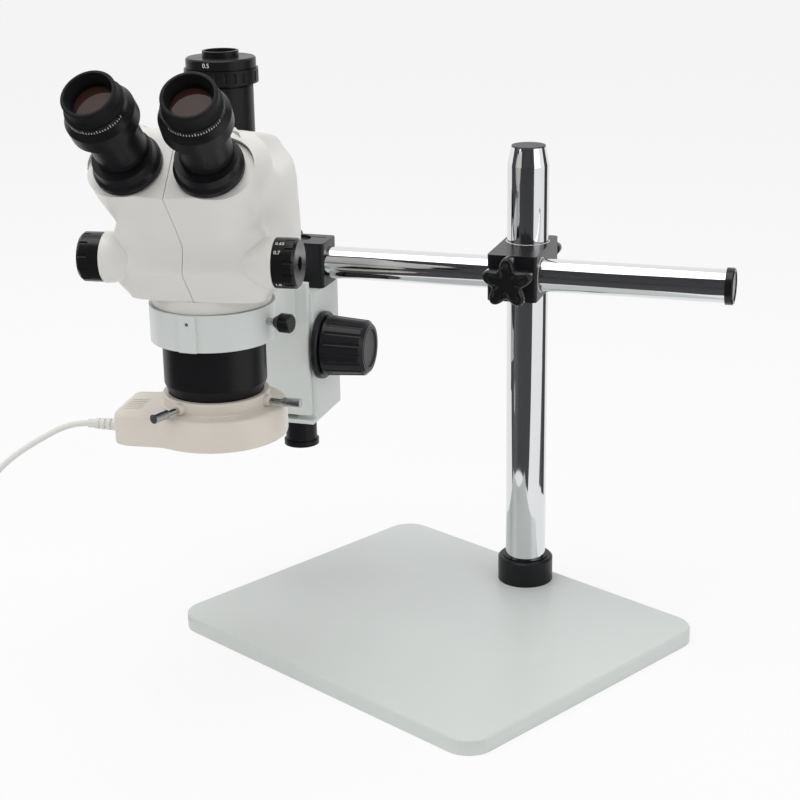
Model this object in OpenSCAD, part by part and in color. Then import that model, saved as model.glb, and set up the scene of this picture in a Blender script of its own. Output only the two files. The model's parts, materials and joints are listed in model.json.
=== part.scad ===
// Stereo microscope with a camera port, on a boom stand, with a ring light.
// Millimetres. +Z is up, +X right, +Y back. The origin is the middle of the base plate's underside.
// The boom is swung on its pillar, so most of the model is drawn in turned frames:
// in_boom() has its origin on the pillar's axis and +X along the arm, in_post() the hanging post,
// in_head() the microscope's own upright axis, with z = 0 on top of the ring that carries it.

/* [Base plate] */
// Width, left to right
plate_w = 314; // [270:1:380]
// Depth, front to back
plate_d = 260; // [216:1:320]
// Thickness
plate_t = 12; // [10:0.5:18]
// Radius of the upright corners
plate_corner_r = 20; // [10:1:40]
// Bevel round the top edge
plate_bevel = 1; // [0.5:0.1:2]

/* [Pillar] */
// Outside diameter of the upright tube
pillar_d = 32; // [26:0.5:39]
// Wall of the tube
pillar_wall = 4; // [3.3:0.1:5]
// Length of the tube above the plate
pillar_len = 354; // [350:1:450]
// Distance of its axis from the plate's rear edge
pillar_from_rear = 24; // [24:1:60]
// Wall of the collar at its foot
foot_collar_wall = 6; // [4:0.5:10]
// Height of that collar
foot_collar_h = 21.5; // [14:0.5:30]

/* [Boom] */
// Turn of the boom about the pillar, from straight left
boom_yaw = 27.5; // [0:0.5:45]
// Height of the arm's axis above the table
boom_z = 275.5; // [240:0.5:300]
// Outside diameter of the arm
arm_d = 25; // [20:0.5:30]
// Wall of the arm
arm_wall = 2.5; // [2:0.1:4]
// Length of the arm
arm_len = 320; // [290:1:400]
// Distance from the pillar's axis to the hanging post's axis
post_reach = 178; // [165:1:220]
// Diameter of the hanging post
post_d = 25; // [20:0.5:30]
// Length of the post below the arm's axis
post_drop = 151.5; // [149:0.5:190]
// Wall of the nylon liners
liner_wall = 0.8; // [0.7:0.1:1.2]

/* [Focus unit] */
// Width of the focus body
focus_w = 52; // [46:1:60]
// Height of the focus body
focus_h = 102.7; // [86:0.1:120]
// Height of the sliding plate
slide_h = 106; // [90:1:126]
// Thickness of the sliding plate
slide_t = 5.7; // [4.7:0.1:8]
// Tooth size of the rack and pinion, as pitch diameter over teeth
tooth_module = 0.75; // [0.7:0.05:0.8]
// Diameter of a focus knob at its wide end
focus_knob_d = 47; // [38:1:52]
// Length of a focus knob
focus_knob_len = 35; // [26:1:42]
// Distance from the post's axis to the microscope's axis
head_forward = 165; // [150:1:190]

/* [Ring and microscope] */
// Bore of the carrying ring
ring_bore_d = 76; // [70:1:84]
// Wall of the ring
ring_wall = 6; // [5:0.5:9]
// Height of the ring
ring_h = 26; // [22:1:32]
// Turn of the microscope in its ring
head_yaw = 6; // [0:0.5:30]
// Wall of the microscope's casing
shell_wall = 3; // [2:0.25:4]
// Diameter of the objective barrel
barrel_d = 72.6; // [66:0.2:73]
// Length of the barrel below the ring
barrel_len = 55; // [46:1:66]
// Diameter of a zoom knob
zoom_knob_d = 34; // [28:1:40]
// Length of a zoom knob
zoom_knob_len = 15.5; // [12:0.5:19]

/* [Eyepieces] */
// Distance between the eyepiece axes where they leave the casing
eye_base_gap = 54; // [52:1:62]
// Slope of the eyepieces from upright
eye_slope = 45; // [44:0.5:46]
// Angle by which each eyepiece leans outwards
eye_toe = 3.9; // [0:0.1:6]
// Diameter of an eyepiece tube
eye_tube_d = 35; // [30:0.5:36]
// Length of an eyepiece up to its turning ring
eye_len = 58; // [50:0.5:66]
// How far the tube is off the axis of its collar
eye_offset = 2.5; // [0:0.1:3]

/* [Camera port] */
// Diameter of the camera tube
port_d = 44; // [38:1:50]
// Height of the camera tube above the casing's deck
port_len = 29.5; // [24:0.5:40]

/* [Ring light] */
// Outside diameter of the ring light
light_d = 100; // [92:1:118]
// Height of the ring light
light_h = 23; // [19:0.5:28]

/* [Cord] */
// Diameter of the cord
cord_d = 4.4; // [4.2:0.1:5]
// Mean diameter of the coil that the spare cord is wound into
coil_mid_d = 56; // [48:1:64]

/* [Hidden] */
$fn = 64;
fit_gap = 0.05;   // radial clearance of pieces that are fixed in each other
run_gap = 0.08;   // radial clearance of pieces that turn or slide in each other
face_gap = 0.3;   // gap between faces of different moving pieces

// Stand
pillar_r = pillar_d / 2;
pillar_bore_r = pillar_r - pillar_wall;
pillar_y = plate_d / 2 - pillar_from_rear;
pillar_top = plate_t + pillar_len;
pillar_taper_h = 14;
pillar_taper = 2.8;
cap_lip_h = 1;
foot_plug_len = 30;
bolt_r = 5;
bolt_head_r = 8;
bolt_head_h = 6;
bolt_pocket_r = 10;
bolt_pocket_h = 7;

// Cross block
arm_r = arm_d / 2;
liner_r = pillar_r + run_gap + liner_wall;
pillar_hole_r = liner_r + run_gap;
arm_liner_r = arm_r + run_gap + liner_wall;
arm_hole_r = arm_liner_r + run_gap;
bar_spacing = 5.5;
arm_offset = pillar_r + arm_r + bar_spacing;
block_side_wall = 2;
block_rear_wall = 5;
block_front_wall = 4.5;
block_roof = 4.1;
block_half_x = pillar_hole_r + block_side_wall;
block_rear = pillar_hole_r + block_rear_wall;
block_front = arm_offset + arm_hole_r + block_front_wall;
block_half_z = arm_hole_r + block_roof;
block_edge_r = 3;
star_r = 19.5;
star_h = 17.5;
star_lobes = 5;
star_stud_r = 4;
star_stud_in = 12;

// Arm and its end block
post_r = post_d / 2;
end_wall = 3;
end_half_y = post_r + end_wall;
end_left = 22;
end_right = 28;
arm_socket = 13;
arm_left = end_right - arm_socket - post_reach;
arm_right = arm_left + arm_len;
arm_cap_h = 6;
arm_cap_lip = 1.25;
arm_plug_len = 14;
slit_w = 1.5;
slit_y = post_r - 6;
slit_end = 23;
pinch_x = end_left - 4.6;
pinch_r = 3;
pinch_rise = 3;
pinch_knob_r = 19.5;
pinch_knob_h = 12;
post_flange_lip = 1.5;
post_flange_h = 4;
post_under_top = 2;

// Focus unit, measured from the post's axis
bush_r = post_r + run_gap + liner_wall;
body_bore_r = bush_r + run_gap;
body_top = boom_z - block_half_z - face_gap;
body_bottom = body_top - focus_h;
body_half_x = focus_w / 2;
body_rear = body_bore_r + 11.6;
pinion_teeth = 12;
pinion_r = pinion_teeth * tooth_module / 2;
pinion_clear = 0.9;
pinion_y = -(body_bore_r + pinion_clear + pinion_r + tooth_module);
pinion_z = body_bottom + 59;
body_front = pinion_y - 15.5;
rack_y = pinion_y - pinion_r;
rack_w = 8;
rack_depth = 4;
shaft_r = 3.5;
tail_gap = run_gap;
tail_h = 8;
tail_neck = 11;
tail_wide = 14;
slide_back = body_front - face_gap;
slide_front = slide_back - slide_t;
slide_bottom = body_bottom + 7;
slide_top = slide_bottom + slide_h;
slide_half_x = body_half_x - 2;
lip_h = 3;
lip_out = slide_t + face_gap;
flange_h = 5;
flange_r = 26.5;
knob_start = body_half_x + face_gap + flange_h + face_gap;
knob_taper = 2;
knob_r = focus_knob_d / 2;
knob_cap_r = 15.5;
knob_cap_h = 1.5;
flutes = 18;
flute_r = 2.2;

// Ring holder
ring_bore_r = ring_bore_d / 2;
ring_r = ring_bore_r + ring_wall;
ring_bottom = boom_z - 15.5;
ring_top = ring_bottom + ring_h;
holder_half_x = 14;
holder_foot_z = slide_top - 32;
ring_boss_w = 12.5;
ring_boss_out = 1.2;
ring_dot_r = 1.3;
ring_dot_z = ring_top - 6;
lock_angle = -7.5;
lock_z = ring_top - 11;
lock_shaft_r = 2.5;
lock_shaft_out = 5.5;
lock_knob_len = 13;
lock_knob_r = 6.75;

// Microscope, measured from its axis and from the top of the ring
neck_r = ring_r - 2.3;
neck_h = 9;
spigot_r = ring_bore_r - run_gap;
neck_bore_r = 33;
barrel_r = barrel_d / 2;
barrel_top = -ring_h - face_gap;
barrel_taper_z = barrel_top - 31;
barrel_taper_h = 13;
barrel_tip_r = barrel_r - 5.3;
barrel_bottom = barrel_top - barrel_len;
lens_r = 22;
lens_thread_h = 7;
skirt_z = neck_h;
casing_top = 129;
rod_out = 36;
rod_r = 2.5;
rod_h = 72;

// Side outline of the casing, y and z, front at the left
casing_side = [
  [-41, neck_h], [62, neck_h], [74, 24], [75, 92], [69, 104], [45, 109], [20, 114.5], [-20, 122],
  [-50, casing_top], [-55.5, casing_top], [-92.9, 90.8], [-72.4, 68.4], [-65.4, 60], [-58.5, 52],
  [-59, 43], [-62.5, 33], [-47, 17]];
// Front outline of its front half, x and z, and of its rear half
casing_front = [
  [47, neck_h], [50, 17], [47, 40], [47, 59], [48, 64], [54, 79], [57, 89], [61, 106], [59, 113], [54, 119],
  [45, 125], [34, casing_top], [-34, casing_top], [-45, 125], [-54, 119], [-59, 113], [-61, 106],
  [-57, 89], [-54, 79], [-48, 64], [-47, 59], [-47, 40], [-50, 17], [-47, neck_h]];
casing_back = [
  [47, neck_h], [54, 24], [54, 45], [52.5, 64], [48, 89], [42, 96], [36, 101], [34, casing_top],
  [-34, casing_top], [-36, 101], [-42, 96], [-48, 89], [-52.5, 64], [-54, 45], [-54, 24], [-47, neck_h]];
// Plan of the two halves
plan_front = [
  [35, -93], [44.5, -88.5], [52, -82], [57, -74.6], [62, -60], [62, -38], [50, -18],
  [-50, -18], [-62, -38], [-62, -60], [-57, -74.6], [-52, -82], [-44.5, -88.5], [-35, -93]];
plan_back = [
  [50, -55], [56, -40], [56, 36], [48, 64], [32, 76],
  [-32, 76], [-48, 64], [-56, 36], [-56, -40], [-50, -55]];

// Zoom
zoom_y = -42;
zoom_z = 38.7;
zoom_boss_r = zoom_knob_d / 2 + 0.5;
zoom_boss_out = 59.5;
zoom_shaft_r = 4;
carrier_z = 50;
carrier_t = 4;
cell_r = 11;
cell_x = 14;
cell_h = 16;
rod_boss_r = 5;
rod_boss_h = 16;
web_w = 8;

// Eyepieces, measured along their own axes
eye_y = -75.9;
eye_z = 107.7;
seat_r = 24.6;
recess_h = 4;
recess_out = 5.8;
recess_floor = -1;
collar_r = 23;
collar_h = 13;
eye_spigot_r = 17;
eye_groove_h = 1.5;
eye_tube_r = eye_tube_d / 2;
housing_r = eye_tube_r + 5.5;
eye_bore_r = 13.5;
eye_neck_r = eye_tube_r - 0.5;
ring_turn_h = 4.7;
ring_turn_r = eye_tube_r + 2.5;
cup_r = eye_tube_r + 0.5;
cup_h = 11;
prism_side = 24;
shelf_z = 74;
shelf_t = 3;

// Camera port
port_y = 45.5;
port_foot = 113;
port_r = port_d / 2;
port_base = 96;
port_top = port_foot + port_len;
port_neck_r = port_r - 2;
port_ring_r = port_r + 3.8;
port_ring_h = 10;
port_groove = 2.1;
adapter_r = port_r + 2.4;
adapter_h = 7.2;
port_ring_z = port_top + port_groove;
adapter_z = port_ring_z + port_ring_h + face_gap;
mount_thread_r = 12.7;
mount_thread_h = 4.4;

// Ring light, measured from the microscope's axis and from the top of the ring
light_r = light_d / 2;
light_top = barrel_top - 47.7;
light_bottom = light_top - light_h;
light_bore_r = barrel_tip_r + 2.8;
light_collar_r = light_bore_r + 4;
light_collar_h = 9;
channel_in = light_bore_r + 3;
channel_out = light_r - 3;
channel_h = 17;
lamp_r = 3.5;
light_screw_z = light_top + 4;
light_screw_angles = [-115, -8, 118];
light_boss_r = 4.2;
light_boss_out = light_collar_r + 3.5;
light_screw_r = 2;
light_knob_r = 3.3;
light_knob_len = 13;
light_shaft_out = 10;
light_tip_gap = 1.3;
box_left = light_r + 15;
box_front = -42;
box_back = 13;
relief_y = -17;
relief_z = light_bottom + 7;
relief_len = 26;
relief_in = 6;
relief_r = 4.6;
relief_tip_r = 3.1;
relief_ribs = 5;

// Cord: its route by hand, from the light's strain relief down to the table, then the coil and plug
cord_r = cord_d / 2;
cord_sides = 10;
cord_route = [
  [-132.8, -217.3, 196], [-139, -221.5, 195.6], [-146, -226, 193.5], [-153, -230.6, 189.5],
  [-160, -236, 184.5], [-167, -242, 179], [-175, -249, 172.5], [-184, -257, 163], [-193, -264, 151],
  [-201, -269.5, 136], [-208, -273.5, 118], [-213, -276, 98], [-217, -278, 77], [-220, -280, 57],
  [-222.5, -283, 38], [-224.5, -288, 21], [-225.5, -297, 8.5], [-225.6, -309, 3], [-225.6, -322.7, 2.2]];
coil_cords = 3;   // cords side by side and on top of each other in the coil
coil_half = coil_cords * cord_r;
coil_x = -225.6 - 32.4;
coil_y = -322.7 - 17.4;
plug_r = 5.5;
plug_len = 34;
plug_pin_r = 2.75;
plug_pin_len = 9.5;

// Colours as in the photograph
stand_white = [0.80, 0.82, 0.80];
head_white = [0.87, 0.86, 0.84];
light_beige = [0.85, 0.80, 0.74];
chrome = [0.78, 0.79, 0.80];
black = [0.07, 0.07, 0.08];
dark_grey = [0.22, 0.23, 0.24];
steel = [0.62, 0.63, 0.65];
brass = [0.80, 0.66, 0.36];
nylon = [0.92, 0.92, 0.88];
glass = [0.70, 0.80, 0.85, 0.5];
cord_white = [0.88, 0.87, 0.85];

// ---- Frames ----

module in_boom() {
  translate([0, pillar_y, 0]) rotate([0, 0, boom_yaw]) children();
}

module in_arm() {
  in_boom() translate([0, -arm_offset, boom_z]) children();
}

module in_post() {
  in_boom() translate([-post_reach, -arm_offset, 0]) children();
}

module in_head() {
  in_post() translate([0, -head_forward, ring_top]) rotate([0, 0, head_yaw]) children();
}

// Side is -1 for the left eyepiece and 1 for the right one
module in_eye(side) {
  in_head() in_seat(side) children();
}

module in_eye_tube(side) {
  in_eye(side) translate([0, eye_offset, 0]) children();
}

// ---- Shapes that repeat ----

// Round bars along X, Y and Z between two stations; r2 makes a taper
module bar_x(x0, x1, r, r2 = -1) {
  translate([x0, 0, 0]) rotate([0, 90, 0]) cylinder(h = x1 - x0, r1 = r, r2 = r2 < 0 ? r : r2);
}

module bar_y(y0, y1, r, r2 = -1) {
  translate([0, y0, 0]) rotate([-90, 0, 0]) cylinder(h = y1 - y0, r1 = r, r2 = r2 < 0 ? r : r2);
}

module bar_z(z0, z1, r, r2 = -1) {
  translate([0, 0, z0]) cylinder(h = z1 - z0, r1 = r, r2 = r2 < 0 ? r : r2);
}

// Box between two corners
module box(lo, hi) {
  translate(lo) cube(hi - lo);
}

// Box between two corners with its upright edges rounded
module upright_block(lo, hi, r) {
  size = hi - lo;
  box(lo + [r, 0, 0], hi - [r, 0, 0]);
  box(lo + [0, r, 0], hi - [0, r, 0]);
  for (x = [r, size.x - r], y = [r, size.y - r])
    translate(lo + [x, y, 0]) cylinder(h = size.z, r = r);
}

// Round solid turned from an outline of radius and height
module turned(outline) {
  rotate_extrude() polygon(outline);
}

// Tube between two heights
module sleeve(z0, z1, inner, outer) {
  turned([[inner, z0], [outer, z0], [outer, z1], [inner, z1]]);
}

// Row of shallow flutes round a knob, leaning with its taper
module flute_cuts(z0, z1, r0, r1, count, cut_r) {
  lean = atan2(r0 - r1, z1 - z0);
  for (i = [0 : count - 1])
    rotate([0, 0, (i + 0.5) * 360 / count]) translate([r0 + cut_r * 0.55, 0, z0])
      rotate([0, -lean, 0]) cylinder(h = (z1 - z0) / cos(lean), r = cut_r, $fn = 24);
}

// Clamping knob with round lobes, seated at z = 0, with a blind hole for its stud
module star_knob(r, h, lobes, stud_r, stud_in) {
  lobe_r = r * 0.33;
  difference() {
    union() {
      cylinder(h = h, r = r * 0.72);
      for (i = [0 : lobes - 1])
        rotate([0, 0, 90 + i * 360 / lobes]) translate([r - lobe_r, 0, 2]) cylinder(h = h - 3, r = lobe_r);
    }
    bar_z(-1, stud_in, stud_r + fit_gap);
  }
}

// Points of an involute flank, from the base circle to the tip
function involute(base_r, a) =
  base_r * [cos(a) + a * PI / 180 * sin(a), sin(a) - a * PI / 180 * cos(a)];
function turn(p, a) = [p.x * cos(a) - p.y * sin(a), p.x * sin(a) + p.y * cos(a)];
function flip(p) = [p.x, -p.y];

pressure = 20;
backlash = 0.12;
addendum = 0.75;
dedendum = 1.25;

// Small gear with one tooth along +X
module gear_outline(m, teeth) {
  pitch_r = m * teeth / 2;
  base_r = pitch_r * cos(pressure);
  tip_r = pitch_r + m * addendum;
  root_r = pitch_r - m * dedendum;
  tip_a = acos(base_r / tip_r);
  roll_tip = tan(tip_a) * 180 / PI;
  spread_pitch = tan(pressure) * 180 / PI - pressure;
  half_tooth = 90 / teeth - backlash / 2 / pitch_r * 180 / PI;
  shift = -(half_tooth + spread_pitch);
  flank = [for (k = [0 : 4]) turn(involute(base_r, roll_tip * k / 4), shift)];
  tooth = concat([turn([root_r - 0.2, 0], shift)], flank, [for (k = [4 : -1 : 0]) flip(flank[k])],
    [turn([root_r - 0.2, 0], -shift)]);
  circle(r = root_r, $fn = 48);
  for (i = [0 : teeth - 1]) rotate(i * 360 / teeth) polygon(tooth);
}

// Rack along Y with a gap at y = 0, its pitch line at x = 0 and its back at x = back
module rack_outline(m, y0, y1, back) {
  pitch = PI * m;
  half = pitch / 4 - backlash / 2;
  tip = half - m * addendum * tan(pressure);
  root = half + m * tan(pressure);
  first = ceil((y0 + root) / pitch - 0.5);
  last = floor((y1 - root) / pitch - 0.5);
  polygon(concat([[back, y0], [m, y0]],
    [for (i = [first : last], k = [0 : 3])
      let(c = (i + 0.5) * pitch, x = k == 0 || k == 3 ? m : -m * addendum)
      [x, c + [-root, -tip, tip, root][k]]],
    [[m, y1], [back, y1]]));
}

// Outline drawn in by a wall: each edge moves inwards and meets its neighbours again
function normal_in(a, b) = [a.y - b.y, b.x - a.x] / norm(b - a);
function meet(p, d, q, e) = p + d * ((q.x - p.x) * e.y - (q.y - p.y) * e.x) / (d.x * e.y - d.y * e.x);
function inset(outline, w) = let(n = len(outline)) [for (i = [0 : n - 1])
  let(a = outline[(i + n - 1) % n], b = outline[i], c = outline[(i + 1) % n],
    u = normal_in(a, b) * w, v = normal_in(b, c) * w)
  meet(a + u, b - a, b + v, c - b)];

// ---- Stand ----

module base_plate() {
  color(stand_white) difference() {
    hull() for (x = [-1, 1], y = [-1, 1])
      translate([x * (plate_w / 2 - plate_corner_r), y * (plate_d / 2 - plate_corner_r), 0])
        turned([[0, 0], [plate_corner_r, 0], [plate_corner_r, plate_t - plate_bevel],
          [plate_corner_r - plate_bevel, plate_t], [0, plate_t]], $fn = 32);
    translate([0, pillar_y, 0]) {
      bar_z(-1, plate_t + 1, bolt_r + fit_gap);
      bar_z(-1, bolt_pocket_h, bolt_pocket_r);
    }
  }
}

module foot_collar() {
  outer = pillar_r + foot_collar_wall;
  inner = pillar_r + fit_gap;
  top = plate_t + foot_collar_h;
  color(black) translate([0, pillar_y, 0])
    turned([[inner, plate_t], [outer, plate_t], [outer, top - 2.5], [outer - 1.5, top - 1],
      [pillar_r + 2, top - 1], [pillar_r + 2, top], [inner, top]]);
}

module pillar() {
  color(chrome) translate([0, pillar_y, 0])
    turned([[pillar_bore_r, plate_t], [pillar_r, plate_t], [pillar_r, pillar_top - pillar_taper_h],
      [pillar_r - pillar_taper, pillar_top], [pillar_bore_r, pillar_top]]);
}

module pillar_cap() {
  color(dark_grey) translate([0, pillar_y, 0]) {
    bar_z(pillar_top - 12, pillar_top, pillar_bore_r - fit_gap);
    bar_z(pillar_top, pillar_top + cap_lip_h, pillar_r - pillar_taper - 0.3);
  }
}

module pillar_foot_plug() {
  color(steel) translate([0, pillar_y, 0])
    sleeve(plate_t, plate_t + foot_plug_len, bolt_r + fit_gap, pillar_bore_r - fit_gap);
}

module foot_bolt() {
  color(steel) translate([0, pillar_y, 0]) {
    bar_z(bolt_pocket_h - bolt_head_h, bolt_pocket_h, bolt_head_r);
    bar_z(bolt_pocket_h, plate_t + foot_plug_len - 4, bolt_r);
  }
}

// ---- Boom ----

module pillar_liner() {
  color(nylon) in_boom()
    sleeve(boom_z - block_half_z, boom_z + block_half_z, pillar_r + run_gap, liner_r);
}

module cross_block() {
  color(black) in_boom() difference() {
    upright_block([-block_half_x, -block_front, boom_z - block_half_z],
      [block_half_x, block_rear, boom_z + block_half_z], block_edge_r);
    bar_z(boom_z - block_half_z - 1, boom_z + block_half_z + 1, pillar_hole_r);
    translate([0, -arm_offset, boom_z]) bar_x(-block_half_x - 1, block_half_x + 1, arm_hole_r);
    translate([0, 0, boom_z]) bar_y(-block_front - 1, -arm_offset, star_stud_r + run_gap);
    translate([0, 0, boom_z]) bar_y(0, block_rear + 1, star_stud_r + run_gap);
  }
}

// Knob and stud share the frame of the face they stand on
module at_arm_lock() {
  in_boom() translate([0, -block_front - face_gap, boom_z]) rotate([90, 0, 0]) children();
}

module at_boom_lock() {
  in_boom() translate([0, block_rear + face_gap, boom_z]) rotate([-90, 0, 0]) children();
}

module arm_lock_knob() {
  color(black) at_arm_lock() star_knob(star_r, star_h, star_lobes, star_stud_r, star_stud_in);
}

module arm_lock_stud() {
  color(steel) at_arm_lock() bar_z(-(block_front_wall + face_gap - run_gap), star_stud_in, star_stud_r);
}

module boom_lock_knob() {
  color(black) at_boom_lock() star_knob(star_r, star_h, star_lobes, star_stud_r, star_stud_in);
}

module boom_lock_stud() {
  color(steel) at_boom_lock() bar_z(-(block_rear_wall + face_gap - run_gap), star_stud_in, star_stud_r);
}

module arm_liner() {
  color(nylon) in_arm() rotate([0, 90, 0])
    sleeve(-block_half_x, block_half_x, arm_r + run_gap, arm_liner_r);
}

module arm() {
  color(chrome) in_arm() rotate([0, 90, 0]) sleeve(arm_left, arm_right, arm_r - arm_wall, arm_r);
}

module arm_end_cap() {
  color(black) in_arm() rotate([0, 90, 0])
    turned([[0, arm_right - arm_plug_len], [arm_r - arm_wall - fit_gap, arm_right - arm_plug_len],
      [arm_r - arm_wall - fit_gap, arm_right], [arm_r + arm_cap_lip, arm_right],
      [arm_r + arm_cap_lip, arm_right + arm_cap_h - 1], [arm_r + arm_cap_lip - 1, arm_right + arm_cap_h],
      [arm_r - 1.5, arm_right + arm_cap_h], [arm_r - 1.5, arm_right + arm_cap_h - 0.6],
      [0, arm_right + arm_cap_h - 0.6]]);
}

module arm_end_block() {
  color(black) in_post() difference() {
    upright_block([-end_left, -end_half_y, boom_z - block_half_z],
      [end_right, end_half_y, boom_z + block_half_z], block_edge_r);
    bar_z(boom_z - block_half_z - 1, boom_z + block_half_z + 1, post_r + fit_gap);
    translate([0, 0, boom_z]) bar_x(end_right - arm_socket, end_right + 1, arm_r + fit_gap);
    box([-end_left - 1, slit_y - slit_w / 2, boom_z - block_half_z - 1],
      [slit_end, slit_y + slit_w / 2, boom_z + block_half_z + 1]);
    translate([-pinch_x, 0, boom_z + pinch_rise]) bar_y(-end_half_y + 4, end_half_y + 1, pinch_r + run_gap);
  }
}

module post_clamp_knob() {
  color(black) in_post() translate([-pinch_x, end_half_y + face_gap, boom_z + pinch_rise])
    rotate([-90, 0, 0]) {
    star_knob(pinch_knob_r, pinch_knob_h, star_lobes, 0.5, 0.5);
    bar_z(-(2 * end_half_y - 6), 1, pinch_r);
  }
}

module hanging_post() {
  low = boom_z - post_drop;
  color(black) in_post() {
    bar_z(low + post_flange_h, boom_z + block_half_z - post_under_top, post_r);
    bar_z(low, low + post_flange_h, post_r + post_flange_lip);
  }
}

// ---- Focus unit ----

module post_bush() {
  color(nylon) in_post() sleeve(body_bottom + 2, body_top - 2, post_r + run_gap, bush_r);
}

// Dovetail in plan, wide at the back, grown by a clearance
module tail_plan(grow) {
  polygon([[-tail_neck - grow, slide_back - 1], [tail_neck + grow, slide_back - 1],
    [tail_neck + grow, slide_back], [tail_wide + grow, slide_back + tail_h + grow],
    [-tail_wide - grow, slide_back + tail_h + grow], [-tail_neck - grow, slide_back]]);
}

module focus_body() {
  color(stand_white) in_post() difference() {
    union() {
      upright_block([-body_half_x, body_front, body_bottom], [body_half_x, body_rear, body_top],
        block_edge_r);
      box([-body_half_x, body_front - lip_out, body_bottom],
        [body_half_x, body_front + 5, body_bottom + lip_h]);
    }
    bar_z(body_bottom - 1, body_top + 1, body_bore_r);
    translate([0, 0, body_bottom + lip_h]) linear_extrude(focus_h) tail_plan(tail_gap);
    box([-rack_w / 2 - 1, body_front, body_bottom + lip_h], [rack_w / 2 + 1, pinion_y, body_top + 1]);
    translate([0, pinion_y, pinion_z]) {
      bar_x(-body_half_x - 1, body_half_x + 1, shaft_r + run_gap);
      bar_x(-rack_w / 2 - 1, rack_w / 2 + 1, pinion_r + tooth_module + 0.2);
    }
  }
}

module slide_plate() {
  color(stand_white) in_post() difference() {
    union() {
      upright_block([-slide_half_x, slide_front, slide_bottom], [slide_half_x, slide_back, slide_top], 1.5);
      translate([0, 0, slide_bottom]) linear_extrude(slide_h) tail_plan(0);
    }
    box([-rack_w / 2 - fit_gap, rack_y - rack_depth, slide_bottom - 1],
      [rack_w / 2 + fit_gap, slide_back + tail_h + 1, slide_top + 1]);
  }
}

// Rack and pinion share this plane: x towards the rack, y up
module in_rack_plane() {
  in_post() translate([0, pinion_y, pinion_z]) rotate([90, 0, -90]) children();
}

module focus_rack() {
  color(brass) in_rack_plane() translate([pinion_r, 0, -rack_w / 2]) linear_extrude(rack_w)
    rack_outline(tooth_module, slide_bottom - pinion_z, slide_top - pinion_z, rack_depth);
}

module focus_pinion() {
  color(steel) {
    in_rack_plane() translate([0, 0, -rack_w / 2]) linear_extrude(rack_w)
      gear_outline(tooth_module, pinion_teeth);
    in_post() translate([0, pinion_y, pinion_z])
      bar_x(-(knob_start + 20), knob_start + 20, shaft_r - 0.6);
    in_post() translate([0, pinion_y, pinion_z]) {
      bar_x(-(knob_start + 20), -(rack_w / 2 + 1), shaft_r);
      bar_x(rack_w / 2 + 1, knob_start + 20, shaft_r);
    }
  }
}

// Each knob stands on its side of the body, z outwards
module at_knob(side) {
  in_post() translate([0, pinion_y, pinion_z]) rotate([0, side * 90, 0])
    translate([0, 0, knob_start]) children();
}

module focus_knobs() {
  color(black) for (side = [-1, 1]) at_knob(side) difference() {
    turned([[0, 0], [knob_r - 1.5, 0], [knob_r, 1.5], [knob_r - knob_taper, focus_knob_len - 3],
      [knob_r - knob_taper - 3, focus_knob_len], [knob_cap_r + 1, focus_knob_len],
      [knob_cap_r + 1, focus_knob_len - knob_cap_h - 1], [0, focus_knob_len - knob_cap_h - 1]]);
    bar_z(-1, 20 + fit_gap, shaft_r + fit_gap);
    flute_cuts(4, focus_knob_len + 1, knob_r, knob_r - knob_taper, flutes, flute_r);
  }
}

module focus_knob_caps() {
  color(dark_grey) for (side = [-1, 1]) at_knob(side) translate([0, 0, focus_knob_len - knob_cap_h - 1])
    turned([[0, 0], [knob_cap_r + 1 - fit_gap, 0], [knob_cap_r + 1 - fit_gap, knob_cap_h + 1.3],
      [knob_cap_r - 0.6, knob_cap_h + 1.3], [knob_cap_r - 0.6, knob_cap_h], [0, knob_cap_h]]);
}

module tension_ring() {
  color(black) in_post() translate([0, pinion_y, pinion_z]) rotate([0, 90, 0])
    translate([0, 0, body_half_x + face_gap])
      turned([[shaft_r + run_gap, 0], [flange_r - 1, 0], [flange_r, 1], [flange_r, flange_h - 1],
        [flange_r - 1, flange_h], [shaft_r + run_gap, flange_h]]);
}

// ---- Ring holder ----

module in_ring() {
  in_post() translate([0, -head_forward, 0]) children();
}

module ring_holder() {
  arm_front = head_forward - ring_r + 4;
  color(stand_white) difference() {
    union() {
      in_ring() bar_z(ring_bottom, ring_top, ring_r);
      in_ring() box([-ring_boss_w / 2, -ring_r - ring_boss_out, ring_bottom], [ring_boss_w / 2, 0, ring_top]);
      in_post() rotate([90, 0, 90]) translate([0, 0, -holder_half_x]) linear_extrude(2 * holder_half_x)
        polygon([[slide_front, holder_foot_z], [slide_front, slide_top], [-arm_front + 22, ring_top],
          [-arm_front, ring_top], [-arm_front, ring_bottom], [-arm_front + 8, ring_bottom]]);
    }
    in_ring() bar_z(ring_bottom - 1, ring_top + 1, ring_bore_r);
    in_ring() translate([0, 0, ring_dot_z]) bar_y(-ring_r - ring_boss_out - 1, -ring_bore_r + 1, ring_dot_r);
    in_ring() translate([0, 0, lock_z]) rotate([0, 0, lock_angle])
      bar_x(ring_bore_r - 1, ring_r + 1, lock_shaft_r + run_gap);
  }
}

module in_ring_lock() {
  in_ring() translate([0, 0, lock_z]) rotate([0, 0, lock_angle]) children();
}

module ring_lock_screw() {
  color(steel) in_ring_lock()
    bar_x(spigot_r + face_gap, ring_r + lock_shaft_out + lock_knob_len / 2, lock_shaft_r);
}

module ring_lock_knob() {
  start = ring_r + lock_shaft_out;
  color(black) in_ring_lock() translate([start, 0, 0]) rotate([0, 90, 0]) difference() {
    turned([[0, 0], [3.6, 0], [lock_knob_r, 5], [lock_knob_r, lock_knob_len - 1],
      [lock_knob_r - 1, lock_knob_len], [0, lock_knob_len]]);
    bar_z(-1, lock_knob_len / 2 + fit_gap, lock_shaft_r + fit_gap);
  }
}

// ---- Casing of the microscope ----

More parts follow.
